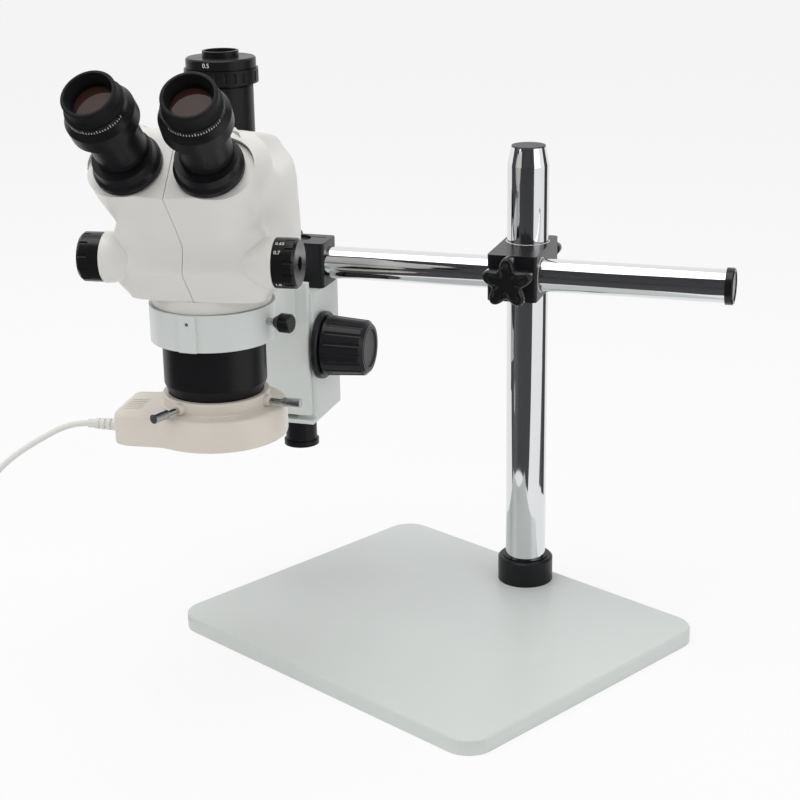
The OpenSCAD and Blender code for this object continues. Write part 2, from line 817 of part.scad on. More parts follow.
// One half of the casing: its side, front and plan outlines at once, each drawn in by a wall
module casing_part(front, plan, wall) {
  intersection() {
    rotate([90, 0, 90]) translate([0, 0, -70]) linear_extrude(140) polygon(inset(casing_side, wall));
    rotate([90, 0, 0]) translate([0, 0, -100]) linear_extrude(200) polygon(inset(front, wall));
    linear_extrude(140) polygon(inset(plan, wall));
  }
}

module casing_form(wall) {
  casing_part(casing_front, plan_front, wall);
  casing_part(casing_back, plan_back, wall);
}

module in_seat(side) {
  translate([side * eye_base_gap / 2, eye_y, eye_z])
    rotate([eye_slope, 0, 0]) rotate([0, side * eye_toe, 0]) children();
}

module eye_seat_bar(side, z0, z1, r, r2 = -1) {
  in_seat(side) bar_z(z0, z1, r, r2);
}

module shell(side) {
  color(head_white) in_head() difference() {
    union() {
      difference() {
        union() {
          casing_form(0);
          translate([0, zoom_y, zoom_z]) bar_x(-zoom_boss_out, zoom_boss_out, zoom_boss_r);
          eye_seat_bar(side, -7, 0, seat_r);
        }
        difference() {
          casing_form(shell_wall);
          box([-70, -100, shelf_z], [70, 100, shelf_z + shelf_t]);
          translate([0, zoom_y, zoom_z]) for (s = [-1, 1]) bar_x(s < 0 ? -60 : 40, s < 0 ? -40 : 60, 8);
          eye_seat_bar(side, -7, 0, seat_r);
        }
      }
    }
    bar_z(skirt_z - 1, skirt_z + 20, neck_r - 3);
    for (s = [-1, 1]) translate([s * cell_x, 0, 0]) bar_z(shelf_z - 1, shelf_z + shelf_t + 1, cell_r - 1);
    translate([0, zoom_y, zoom_z]) bar_x(-zoom_boss_out - 1, zoom_boss_out + 1, zoom_shaft_r + run_gap);
    eye_seat_bar(side, -12, 1, eye_spigot_r + run_gap);
    eye_seat_bar(side, 0, recess_h, seat_r, seat_r + recess_h);
    in_seat(side) translate([side * recess_out, 0, 0])
      bar_z(recess_floor, recess_h, seat_r - 3, seat_r + 0.5);
    translate([0, port_y, 0]) bar_z(port_base, casing_top, port_r + fit_gap);
    box([side < 0 ? 0 : -100, -120, -10], [side < 0 ? 100 : 0, 120, 140]);
  }
}

module left_shell() {
  shell(-1);
}

module right_shell() {
  shell(1);
}

module head_neck() {
  color(head_white) in_head() {
    turned([[neck_bore_r, -ring_h + 1], [spigot_r, -ring_h + 1], [spigot_r, face_gap],
      [neck_r, face_gap], [neck_r, neck_h], [neck_bore_r, neck_h]]);
    for (s = [-1, 1]) translate([s * rod_out, 0, 0]) bar_z(neck_h - 4, neck_h + rod_h - 7, rod_r);
  }
}

module objective_barrel() {
  in_r = neck_bore_r - fit_gap;
  color(black) in_head()
    turned([[in_r - 3, barrel_top + 16], [in_r, barrel_top + 16], [in_r, barrel_top], [barrel_r, barrel_top],
      [barrel_r, barrel_taper_z], [barrel_tip_r, barrel_taper_z - barrel_taper_h],
      [barrel_tip_r, barrel_bottom + 1], [barrel_tip_r - 1, barrel_bottom],
      [lens_r, barrel_bottom], [lens_r, barrel_bottom + lens_thread_h],
      [lens_r - 1.5, barrel_bottom + lens_thread_h], [lens_r - 1.5, barrel_bottom + lens_thread_h + 2],
      [lens_r + 1.5, barrel_bottom + lens_thread_h + 2], [lens_r + 1.5, barrel_taper_z],
      [in_r - 3, barrel_top - 10]]);
}

module objective_lens() {
  z0 = barrel_bottom + lens_thread_h + 2;
  color(glass) in_head() bar_z(z0, z0 + 7, lens_r + 1.5 - fit_gap);
}

// ---- Zoom ----

module in_zoom_plane() {
  in_head() translate([0, zoom_y, zoom_z]) rotate([90, 0, 90]) children();
}

module zoom_shaft() {
  reach = zoom_boss_out + face_gap + zoom_knob_len - 3;
  color(steel) {
    in_zoom_plane() translate([0, 0, -web_w / 2 - 1]) linear_extrude(web_w + 2)
      gear_outline(tooth_module, pinion_teeth);
    in_head() translate([0, zoom_y, zoom_z]) {
      bar_x(-reach, -web_w / 2 - 1, zoom_shaft_r);
      bar_x(-web_w / 2 - 1, web_w / 2 + 1, pinion_r - 1.5);
      bar_x(web_w / 2 + 1, reach, zoom_shaft_r);
    }
  }
}

module zoom_knobs() {
  r = zoom_knob_d / 2;
  color(black) for (side = [-1, 1]) in_head() translate([0, zoom_y, zoom_z]) rotate([0, side * 90, 0])
    translate([0, 0, zoom_boss_out + face_gap]) difference() {
      turned([[0, 0], [r, 0], [r, zoom_knob_len - 2], [r - 1.5, zoom_knob_len], [5, zoom_knob_len],
        [5, zoom_knob_len - 2], [0, zoom_knob_len - 2]]);
      bar_z(-1, zoom_knob_len - 3 + fit_gap, zoom_shaft_r + fit_gap);
      flute_cuts(8, zoom_knob_len + 1, r, r, 12, 1.6);
    }
}

module zoom_carrier() {
  plate_z = carrier_z - carrier_t / 2;
  rack_front = zoom_y + pinion_r;
  color(black) in_head() difference() {
    union() {
      box([-rod_out - 4, -8, plate_z], [rod_out + 4, 8, plate_z + carrier_t]);
      for (s = [-1, 1]) translate([s * rod_out, 0, 0])
        bar_z(carrier_z - rod_boss_h / 2, carrier_z + rod_boss_h / 2, rod_boss_r);
      for (s = [-1, 1]) translate([s * cell_x, 0, 0])
        bar_z(carrier_z - cell_h / 2, carrier_z + cell_h / 2, cell_r);
      box([-web_w / 2, rack_front + rack_depth - 1, plate_z], [web_w / 2, -7, plate_z + carrier_t]);
    }
    for (s = [-1, 1]) translate([s * rod_out, 0, 0]) bar_z(0, 100, rod_r + run_gap);
    for (s = [-1, 1]) translate([s * cell_x, 0, 0]) bar_z(0, 100, cell_r - 2);
  }
  color(black) in_zoom_plane() translate([pinion_r, 0, -web_w / 2]) linear_extrude(web_w)
    rack_outline(tooth_module, -16, 18, rack_depth);
}

module prisms() {
  half = prism_side / 2;
  color(glass) in_head() for (s = [-1, 1])
    box([s * cell_x - half + 0.5, -half, shelf_z + shelf_t],
      [s * cell_x + half - 0.5, half, shelf_z + shelf_t + prism_side]);
}

// ---- Eyepieces ----

module eye_collar(side) {
  top_r = collar_r - 2.5;
  color(black) in_eye(side) difference() {
    turned([[0, -6], [eye_spigot_r, -6], [eye_spigot_r, face_gap], [collar_r, face_gap],
      [collar_r, 4], [top_r + 0.6, 6.5], [top_r, collar_h], [0, collar_h]]);
    translate([0, eye_offset, 0]) bar_z(-7, collar_h + 1, eye_bore_r);
  }
}

module eyepiece(side) {
  z0 = collar_h;
  color(black) in_eye_tube(side)
    turned([[eye_bore_r, z0], [eye_tube_r - 1, z0], [eye_tube_r - 1, z0 + eye_groove_h],
      [eye_tube_r, z0 + eye_groove_h], [eye_tube_r, eye_len - 21], [eye_tube_r + 1.5, eye_len - 21],
      [eye_tube_r + 1.5, eye_len - 18], [housing_r, eye_len - 14], [housing_r, eye_len - 4],
      [housing_r - 3, eye_len], [eye_neck_r, eye_len], [eye_neck_r, eye_len + ring_turn_h],
      [eye_bore_r - 1, eye_len + ring_turn_h], [eye_bore_r - 1, eye_len], [eye_bore_r, eye_len]]);
}

module dioptre_ring(side) {
  color(black) in_eye_tube(side)
    sleeve(eye_len + face_gap, eye_len + face_gap + ring_turn_h, eye_neck_r + run_gap, ring_turn_r);
}

module eyecup(side) {
  z0 = eye_len + face_gap + ring_turn_h;
  color(black) in_eye_tube(side)
    turned([[eye_bore_r + 0.6, z0], [eye_neck_r + 2, z0], [cup_r, z0 + 2], [cup_r, z0 + cup_h - 1],
      [cup_r - 1, z0 + cup_h], [cup_r - 2.4, z0 + cup_h], [eye_bore_r + 0.6, z0 + 3]]);
}

module eye_lens(side) {
  color(glass) in_eye_tube(side)
    bar_z(eye_len + 0.5, eye_len + ring_turn_h + 1, eye_bore_r - 1 - fit_gap);
}

module left_eye_collar() {
  eye_collar(-1);
}

module right_eye_collar() {
  eye_collar(1);
}

module left_eyepiece() {
  eyepiece(-1);
}

module right_eyepiece() {
  eyepiece(1);
}

module left_dioptre_ring() {
  dioptre_ring(-1);
}

module right_dioptre_ring() {
  dioptre_ring(1);
}

module left_eyecup() {
  eyecup(-1);
}

module right_eyecup() {
  eyecup(1);
}

module left_eye_lens() {
  eye_lens(-1);
}

module right_eye_lens() {
  eye_lens(1);
}

// ---- Camera port ----

module camera_tube() {
  color(black) in_head() translate([0, port_y, 0])
    turned([[port_r - 5, port_base + 1], [port_r, port_base + 1], [port_r, port_top],
      [port_neck_r, port_top], [port_neck_r, adapter_z], [port_r - 5, adapter_z]]);
}

module camera_ring() {
  color(black) in_head() translate([0, port_y, port_ring_z]) difference() {
    sleeve(0, port_ring_h, port_neck_r + run_gap, port_ring_r);
    flute_cuts(1.5, port_ring_h - 1.5, port_ring_r, port_ring_r, 24, 1.7);
  }
}

module camera_adapter() {
  thread_in = mount_thread_r - 1.7;
  color(black) in_head() translate([0, port_y, adapter_z])
    turned([[thread_in, 0], [adapter_r, 0], [adapter_r, adapter_h - 1], [adapter_r - 1, adapter_h],
      [mount_thread_r, adapter_h], [mount_thread_r, adapter_h + mount_thread_h],
      [thread_in, adapter_h + mount_thread_h]]);
}

// ---- Ring light ----

module light_housing() {
  color(light_beige) in_head() difference() {
    union() {
      bar_z(light_bottom, light_top, light_r);
      bar_z(light_top, light_top + light_collar_h, light_collar_r);
      upright_block([-box_left, box_front, light_bottom], [-light_r + 12, box_back, light_top], 2);
      for (a = light_screw_angles) rotate([0, 0, a]) translate([0, 0, light_screw_z])
        bar_x(light_bore_r + 1, light_boss_out, light_boss_r);
    }
    bar_z(light_bottom - 1, light_top + light_collar_h + 1, light_bore_r);
    translate([0, 0, light_bottom - 1]) sleeve(0, channel_h + 1, channel_in, channel_out);
    for (a = light_screw_angles) rotate([0, 0, a]) translate([0, 0, light_screw_z])
      bar_x(light_bore_r - 1, light_boss_out + 1, light_screw_r + run_gap);
    translate([0, relief_y, relief_z]) bar_x(-box_left - 1, -box_left + relief_in, relief_tip_r + fit_gap);
  }
}

module light_lamp() {
  color(glass) in_head() translate([0, 0, light_bottom + channel_h - lamp_r])
    rotate_extrude() translate([(channel_in + channel_out) / 2, 0]) circle(r = lamp_r, $fn = 32);
}

module light_screw(angle) {
  color(dark_grey) in_head() rotate([0, 0, angle]) translate([0, 0, light_screw_z]) {
    bar_x(barrel_tip_r + light_tip_gap, light_boss_out + light_shaft_out, light_screw_r);
    bar_x(light_boss_out + light_shaft_out, light_boss_out + light_shaft_out + light_knob_len, light_knob_r);
  }
}

module light_screw_left() {
  light_screw(light_screw_angles[0]);
}

module light_screw_right() {
  light_screw(light_screw_angles[1]);
}

module light_screw_rear() {
  light_screw(light_screw_angles[2]);
}

module strain_relief() {
  rib = relief_len / (relief_ribs + 1);
  color(light_beige) in_head() translate([-box_left, relief_y, relief_z]) rotate([0, -90, 0]) {
    bar_z(-relief_in, relief_len, relief_tip_r);
    for (i = [0 : relief_ribs - 1]) let(r = relief_r - i * 0.2)
      bar_z(0.3 + i * rib, 0.3 + i * rib + rib * 0.6, r);
  }
}

// ---- Cord ----

// Tube swept along points: each ring stands across the route and keeps the last ring's upward edge
function unit(v) = v / norm(v);
function heading(p, i) = unit(p[min(i + 1, len(p) - 1)] - p[max(i - 1, 0)]);
function across(d) = unit(cross(d, abs(d.z) > 0.9 ? [0, 1, 0] : [0, 0, 1]));
function follow(p, i, last) = i == len(p) ? [] :
  let(d = heading(p, i), u = i == 0 ? across(d) : unit(last - d * (last * d)))
  concat([u], follow(p, i + 1, u));

module tube_along(p, r, sides) {
  u = follow(p, 0, [0, 0, 0]);
  n = len(p);
  points = [for (i = [0 : n - 1]) let(d = heading(p, i), v = cross(d, u[i]))
    for (k = [0 : sides - 1]) p[i] + r * (cos(k * 360 / sides) * u[i] + sin(k * 360 / sides) * v)];
  sleeves = [for (i = [0 : n - 2], k = [0 : sides - 1]) let(j = (k + 1) % sides)
    [i * sides + k, (i + 1) * sides + k, (i + 1) * sides + j, i * sides + j]];
  start = [[for (k = [0 : sides - 1]) k]];
  end = [[for (k = [sides - 1 : -1 : 0]) (n - 1) * sides + k]];
  polyhedron(points = points, faces = concat(start, sleeves, end), convexity = 6);
}

// Smooth curve through hand-chosen points
function curve_at(a, b, c, d, t) = 0.5 * ((2 * b) + (c - a) * t + (2 * a - 5 * b + 4 * c - d) * t * t
  + (3 * b - a - 3 * c + d) * t * t * t);
function smooth(p, steps) = let(n = len(p)) concat([for (i = [0 : n - 2], k = [0 : steps - 1])
  curve_at(p[max(i - 1, 0)], p[i], p[i + 1], p[min(i + 2, n - 1)], k / steps)], [p[n - 1]]);

module cord() {
  color(cord_white) tube_along(smooth(cord_route, 2), cord_r, cord_sides);
}

module cord_coil() {
  mid = coil_mid_d / 2;
  color(cord_white) translate([coil_x, coil_y, 0]) sleeve(0, 2 * coil_half, mid - coil_half, mid + coil_half);
}

module cord_plug() {
  color(black) translate([coil_x, coil_y - coil_mid_d / 2, 2 * coil_half + plug_r]) {
    bar_x(-plug_len / 2, plug_len / 2, plug_r);
    bar_x(-plug_len / 2 - plug_pin_len, -plug_len / 2, plug_pin_r);
  }
}

// ---- Assembly ----

base_plate();
foot_collar();
pillar();
pillar_cap();
pillar_foot_plug();
foot_bolt();
pillar_liner();
cross_block();
arm_lock_knob();
arm_lock_stud();
boom_lock_knob();
boom_lock_stud();
arm_liner();
arm();
arm_end_cap();
arm_end_block();
post_clamp_knob();
hanging_post();
post_bush();
focus_body();
slide_plate();
focus_rack();
focus_pinion();
focus_knobs();
focus_knob_caps();
tension_ring();
ring_holder();
ring_lock_screw();
ring_lock_knob();
left_shell();
right_shell();
head_neck();
objective_barrel();
objective_lens();
zoom_shaft();
zoom_knobs();
zoom_carrier();
prisms();
left_eye_collar();
right_eye_collar();
left_eyepiece();
right_eyepiece();
left_dioptre_ring();
right_dioptre_ring();
left_eyecup();
right_eyecup();
left_eye_lens();
right_eye_lens();
camera_tube();
camera_ring();
camera_adapter();
light_housing();
light_lamp();
light_screw_left();
light_screw_right();
light_screw_rear();
strain_relief();
cord();
cord_coil();
cord_plug();
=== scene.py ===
# %% [markdown]
# # A stereo microscope on a boom stand
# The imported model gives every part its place. This script adds what a drawing of solids leaves out: the
# soft shapes of the castings, rounded edges, the lying cord, and a finish for every surface.

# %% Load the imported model
import json
import math

import bmesh
import bpy
import numpy as np
from mathutils import Matrix


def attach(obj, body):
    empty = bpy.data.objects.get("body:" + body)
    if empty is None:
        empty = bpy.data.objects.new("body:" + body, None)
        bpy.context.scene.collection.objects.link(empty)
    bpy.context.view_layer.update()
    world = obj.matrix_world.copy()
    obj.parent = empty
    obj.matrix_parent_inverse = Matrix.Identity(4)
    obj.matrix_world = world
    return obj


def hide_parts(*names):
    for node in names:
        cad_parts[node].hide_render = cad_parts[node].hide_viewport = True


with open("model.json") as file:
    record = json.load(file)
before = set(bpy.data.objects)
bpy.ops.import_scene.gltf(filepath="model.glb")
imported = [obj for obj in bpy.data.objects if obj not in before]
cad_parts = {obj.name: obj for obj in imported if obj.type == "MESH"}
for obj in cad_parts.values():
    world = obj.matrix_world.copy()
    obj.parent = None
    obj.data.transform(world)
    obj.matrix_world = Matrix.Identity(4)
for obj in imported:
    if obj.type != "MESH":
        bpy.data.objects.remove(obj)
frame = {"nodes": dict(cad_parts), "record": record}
nodes = frame["nodes"]
bodies = frame["record"]["behaviour"]["bodies"]
body_of_node = {node: body for body, names in bodies.items() for node in names}
slot_of_node = {row["node"]: row["material_slot"] for row in frame["record"]["subparts"]}
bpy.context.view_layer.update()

# %% [markdown]
# The parts were drawn in small frames of their own, in millimetres: the boom is turned on the pillar, the
# head is turned in its ring, and each eyepiece leans towards the observer. A 4 by 4 matrix for each frame
# lets a new piece be written down in the numbers of its own part.

# %% Frames of the parts, in millimetres
def moved(x, y, z):
    """A matrix that moves by x, y, z."""
    matrix = np.eye(4)
    matrix[:3, 3] = x, y, z
    return matrix


def turned_by(degrees, axis):
    """A matrix that turns by degrees about one axis."""
    return np.array(Matrix.Rotation(math.radians(degrees), 4, axis))


BOOM_TURN, HEAD_TURN = 27.5, 6
PILLAR_Y, ARM_Z, RING_TOP = 106, 275.5, 286
ZOOM_Y, ZOOM_Z = -42, 38.7
EYE_LEAN, EYE_SPLAY = 45, 3.9
ROOT = np.eye(4)
BOOM = moved(0, PILLAR_Y, 0) @ turned_by(BOOM_TURN, "Z")
POST = BOOM @ moved(-178, -34, 0)
HEAD = POST @ moved(0, -165, RING_TOP) @ turned_by(HEAD_TURN, "Z")
ZOOM_SHAFT = HEAD @ moved(0, ZOOM_Y, ZOOM_Z)


def eye_frame(side):
    """The frame of one eyepiece tube: it leans towards the observer and spreads outwards."""
    foot = HEAD @ moved(side * 27, -75.9, 107.7)
    return foot @ turned_by(EYE_LEAN, "X") @ turned_by(side * EYE_SPLAY, "Y")


print("head", HEAD[:3, 3])

# %% [markdown]
# The camera stands where the photograph's stood. Its place was solved from the edges of the plate, the
# pillar and the arm: 45 degrees round to the right, looking 18 degrees down, with a long lens.

# %% Camera
def camera_matrix(place, forward, roll):
    """Axes of a camera: right = forward x up, then right and up are rolled about the view direction."""
    forward = forward / np.linalg.norm(forward)
    right = np.cross(forward, (0, 0, 1))
    right /= np.linalg.norm(right)
    up = np.cross(right, forward)
    cosine, sine = math.cos(roll), math.sin(roll)
    matrix = np.eye(4)
    matrix[:3, 0] = cosine * right + sine * up
    matrix[:3, 1] = cosine * up - sine * right
    matrix[:3, 2] = -forward
    matrix[:3, 3] = place
    return matrix


CAMERA_PLACE = np.array([0.88170, -0.91134, 0.60652])
CAMERA_FORWARD = np.array([-0.67390, 0.66973, -0.31197])
CAMERA_ROLL = math.radians(-0.88)
CAMERA_LENS = 80.44
camera = bpy.data.objects.new("camera", bpy.data.cameras.new("camera"))
bpy.context.scene.collection.objects.link(camera)
camera.matrix_world = Matrix(camera_matrix(CAMERA_PLACE, CAMERA_FORWARD, CAMERA_ROLL))
camera.data.lens = CAMERA_LENS
camera.data.clip_end = 50
bpy.context.scene.camera = camera
bpy.context.scene.view_settings.view_transform = "Standard"
print("camera", list(camera.location))

# %% [markdown]
# A shader is a small sum written with nodes. The class Socket lets the sum be written as one: adding or
# multiplying two sockets makes the Math node for it, so a finish reads like its recipe. Every other node
# comes from one method of Recipe, and a Finish is a recipe that feeds the shader of one material.

# %% Sockets and finishes
class Socket:
    """One output of a node. The signs +, - and * on it make Math nodes in its tree."""

    def __init__(self, recipe, socket):
        self.recipe, self.socket = recipe, socket

    def math(self, operation, first, second):
        """One Math node; each side is a Socket or a number."""
        return self.recipe.node("ShaderNodeMath", {"operation": operation}, {0: first, 1: second})

    def __add__(self, other):
        return self.math("ADD", self, other)

    def __radd__(self, other):
        return self.math("ADD", other, self)

    def __sub__(self, other):
        return self.math("SUBTRACT", self, other)

    def __rsub__(self, other):
        return self.math("SUBTRACT", other, self)

    def __mul__(self, other):
        return self.math("MULTIPLY", self, other)

    def __rmul__(self, other):
        return self.math("MULTIPLY", other, self)


class Recipe:
    """A node tree, with one method that adds any node to it."""

    def __init__(self, tree):
        self.tree = tree

    def feed(self, socket, value):
        """Links a Socket, or writes a constant."""
        if isinstance(value, Socket):
            self.tree.links.new(value.socket, socket)
        else:
            socket.default_value = value

    def node(self, kind, settings, inputs, output=0):
        """Adds one node: its type, then its settings, then its inputs."""
        made = self.tree.nodes.new(kind)
        for key, value in settings.items():
            setattr(made, key, value)
        for key, value in inputs.items():
            self.feed(made.inputs[key], value)
        return Socket(self, made.outputs[output])

    def background_rays(self):
        """Three sockets, each 1 on its kind of ray: from the camera, off gloss, and through glass."""
        kinds = ("Is Camera Ray", "Is Glossy Ray", "Is Transmission Ray")
        return [self.node("ShaderNodeLightPath", {}, {}, kind) for kind in kinds]


class Finish(Recipe):
    """A material with one Principled shader."""

    def __init__(self, name, colour, **constants):
        self.material = bpy.data.materials.new(name)
        self.material.use_nodes = True
        super().__init__(self.material.node_tree)
        self.shader = self.tree.nodes["Principled BSDF"]
        self.colour = tuple(colour[:3]) + (1.0,)
        self.set(Base_Color=self.colour, **constants)

    def set(self, **values):
        """Sets or links inputs of the shader; an underscore stands for a space."""
        for key, value in values.items():
            self.feed(self.shader.inputs[key.replace("_", " ")], value)

    def noise(self, size, stretch=(1, 1, 1)):
        """Noise whose lumps are about size metres, drawn out along the axes by stretch."""
        place = self.node("ShaderNodeTexCoord", {}, {}, "Object")
        place = self.node("ShaderNodeMapping", {}, {"Vector": place, "Scale": tuple(1 / s for s in stretch)})
        return self.node("ShaderNodeTexNoise", {}, {"Vector": place, "Scale": 0.5 / size, "Detail": 3.0})

    def shade(self, amount, size, stretch=(1, 1, 1)):
        """Colour that drifts lighter and darker by amount over patches of size metres."""
        factor = 1.0 + (self.noise(size, stretch) - 0.5) * (2 * amount)
        self.set(Base_Color=self.node("ShaderNodeVectorMath", {"operation": "SCALE"},
                                      {0: self.colour[:3], "Scale": factor}))

    def bump(self, height, depth):
        """Surface relief: height is a Socket from 0 to 1, depth its depth in metres."""
        self.set(Normal=self.node("ShaderNodeBump", {}, {"Height": height, "Distance": depth}))


print("shader helpers ready")

# %% [markdown]
# The pale castings are powder painted: an even, satin skin with a very fine orange peel. The colour drifts
# a little over the surface, and the roughness varies in small patches as it does after some handling.

# %% Painted, moulded and metal finishes
record_colour = {row["slot"]: row["base_color"] for row in frame["record"]["materials"]}


def painted(slot, roughness, coat, grain, depth, drift=0.02, depth_of_black=1.0):
    """Paint or plastic: drifting colour, patchy roughness, fine relief. A darkened black is less shiny."""
    colour = [value * depth_of_black for value in record_colour[slot][:3]]
    finish = Finish(slot, colour, Coat_Weight=coat, Coat_Roughness=0.25,
                    Specular_IOR_Level=0.4 if depth_of_black == 1.0 else 0.16)
    finish.shade(drift, 0.03)
    finish.set(Roughness=roughness + (finish.noise(0.012) - 0.5) * 0.12)
    finish.bump(finish.noise(grain), depth)
    return finish.material


def machined(slot, roughness, stretch, depth, drift=0.03):
    """Metal with faint tool marks drawn out along one axis."""
    finish = Finish(slot, record_colour[slot], Metallic=1.0)
    finish.shade(drift, 0.01, stretch)
    finish.set(Roughness=roughness + (finish.noise(0.004, stretch) - 0.5) * (roughness * 0.8))
    finish.bump(finish.noise(0.0008, stretch), depth)
    return finish.material


finishes = {
    "stand_paint": painted("stand_paint", 0.42, 0.15, 0.0012, 0.00004),
    "focus_paint": painted("focus_paint", 0.38, 0.2, 0.0009, 0.00003),
    "head_paint": painted("head_paint", 0.40, 0.2, 0.0009, 0.00002, 0.012),
    "black_metal": painted("black_metal", 0.34, 0.05, 0.0008, 0.00001, 0.2, 0.4),
    "black_casting": painted("black_casting", 0.32, 0.1, 0.001, 0.00003, 0.2, 0.4),
    "black_barrel": painted("black_barrel", 0.34, 0.05, 0.0006, 0.00001, 0.2, 0.4),
    "black_plastic": painted("black_plastic", 0.22, 0.2, 0.0015, 0.00002, 0.15, 0.35),
    "knob_black": painted("knob_black", 0.26, 0.05, 0.0006, 0.00003, 0.2, 0.4),
    "dark_plastic": painted("dark_plastic", 0.45, 0.0, 0.0005, 0.00003, 0.06, 0.6),
    "eyecup_rubber": painted("eyecup_rubber", 0.60, 0.0, 0.0005, 0.00005, 0.15, 0.4),
    "nylon": painted("nylon", 0.5, 0.0, 0.001, 0.00002),
    "light_plastic": painted("light_plastic", 0.34, 0.2, 0.0008, 0.00002, 0.015),
    "cord_plastic": painted("cord_plastic", 0.40, 0.1, 0.0008, 0.00002),
    "chrome_tube": machined("chrome_tube", 0.05, (1, 1, 8), 0.000004, 0.01),
    "steel": machined("steel", 0.28, (1, 1, 6), 0.00001),
    "brass": machined("brass", 0.3, (1, 6, 1), 0.00001)}
print("finishes", len(finishes))

# %% [markdown]
# Glass that is looked into from outside shows mostly its coating. The lenses are drawn opaque: their dark
# brownish colour is painted shade of the dark tube behind the glass, with a brown tint as a painted
# reflection of the coating. A smooth coat on top gives them a glint. The tube lamp is frosted white.

# %% Glass finishes
def glassy(slot, colour, roughness):
    """Coated glass drawn opaque: a body of the given colour under a smooth coat, with a faint unevenness."""
    finish = Finish(slot, colour, Coat_Weight=0.05, Coat_Roughness=0.03, Specular_IOR_Level=0.15)
    finish.shade(0.15, 0.02)
    finish.set(Roughness=roughness + finish.noise(0.01) * 0.02)
    return finish.material


# The lens colour is painted: painted shade of the dark tube inside, with a brown tint as a painted reflection
# of the coating.
finishes["lens_glass"] = glassy("lens_glass", (0.045, 0.02, 0.016), 0.04)
finishes["lamp_glass"] = glassy("lamp_glass", (0.9, 0.9, 0.88), 0.35)
for name, node in nodes.items():
    node.data.materials.clear()
    node.data.materials.append(finishes[slot_of_node[name]])
print("nodes with a finish", len(nodes))

# %% [markdown]
# New pieces are surfaces on a grid. Two arrays of numbers go in, one grid of points comes out, and every
# four neighbours make one face. The grid is written into the mesh in one go.

# %% From a grid of points to a piece
def grid(points, around=False):
    """Vertices and faces of points[row, column]; around joins the last column to the first."""
    index = np.arange(points.shape[0] * points.shape[1]).reshape(points.shape[:2])
    if around:
        index = np.hstack([index, index[:, :1]])
    faces = np.stack([index[:-1, :-1], index[1:, :-1], index[1:, 1:], index[:-1, 1:]], -1).reshape(-1, 4)
    return points.reshape(-1, 3), faces


def placed(points, place):
    """Points in millimetres of a part's frame, in metres of the model's frame."""
    return (points @ place[:3, :3].T + place[:3, 3]) / 1000


def finished(mesh, crease):
    """Merges doubles, turns the faces outwards and shades smoothly up to the crease angle."""
    work = bmesh.new()
    work.from_mesh(mesh)
    bmesh.ops.remove_doubles(work, verts=work.verts, dist=2e-6)
    bmesh.ops.dissolve_degenerate(work, edges=work.edges, dist=1e-6)
    bmesh.ops.recalc_face_normals(work, faces=work.faces)
    work.to_mesh(mesh)
    work.free()
    mesh.shade_smooth()
    mesh.set_sharp_from_angle(angle=math.radians(crease))


def piece(name, surfaces, place, body, slot, stands_for=(), crease=35):
    """One object of several grids, in the frame place, that rides on body and may stand for CAD nodes."""
    points, faces, start = [], [], 0
    for surface_points, surface_faces in surfaces:
        points.append(surface_points)
        faces.append(surface_faces + start)
        start += len(surface_points)
    mesh = bpy.data.meshes.new(name)
    mesh.from_pydata(placed(np.vstack(points), place), [], np.vstack(faces).tolist())
    finished(mesh, crease)
    made = bpy.data.objects.new(name, mesh)
    bpy.context.scene.collection.objects.link(made)
    mesh.materials.append(finishes[slot])
    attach(made, body)
    if stands_for:
        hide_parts(*stands_for)
    print(name, "faces", len(mesh.polygons))
    return made


# %% [markdown]
# Milled and cast blocks never have a knife edge. A copy of each block is welded, its flat triangles are
# joined again, and a Bevel modifier rounds what is left of the edges, so that they catch the light.

# %% Blocks with softened edges
def softened(node, width):
    """A welded copy of a CAD node with a rounded edge of width millimetres."""
    mesh = nodes[node].data.copy()
    work = bmesh.new()
    work.from_mesh(mesh)
    bmesh.ops.remove_doubles(work, verts=work.verts, dist=1e-6)
    bmesh.ops.dissolve_limit(work, angle_limit=math.radians(1), verts=work.verts, edges=work.edges)
    bmesh.ops.recalc_face_normals(work, faces=work.faces)
    work.to_mesh(mesh)
    work.free()
    mesh.shade_smooth()
    mesh.set_sharp_from_angle(angle=math.radians(35))
    made = bpy.data.objects.new(node + "_soft", mesh)
    bpy.context.scene.collection.objects.link(made)
    bevel = made.modifiers.new("rounded_edge", "BEVEL")
    bevel.width, bevel.segments, bevel.limit_method = width / 1000, 3, "ANGLE"
    bevel.angle_limit, bevel.harden_normals = math.radians(35), True
    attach(made, body_of_node[node])
    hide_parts(node)
    return made


for node, width in (("cross_block", 1.2), ("arm_end_block", 1.2), ("focus_body", 1.0), ("slide_plate", 0.5),
                    ("ring_holder", 1.5)):
    softened(node, width)
    print("softened", node)

# %% [markdown]
# The casing of the head is two thin castings that meet on the middle line. At every height its outline is
# a rounded box, narrower and rounder in front. The outlines are stacked up to the sloping deck and the
# sloping face of the eyepieces, and from that rim the surface goes inwards to the seam. A few passes of
# smoothing round the rim. Solidify gives the wall.

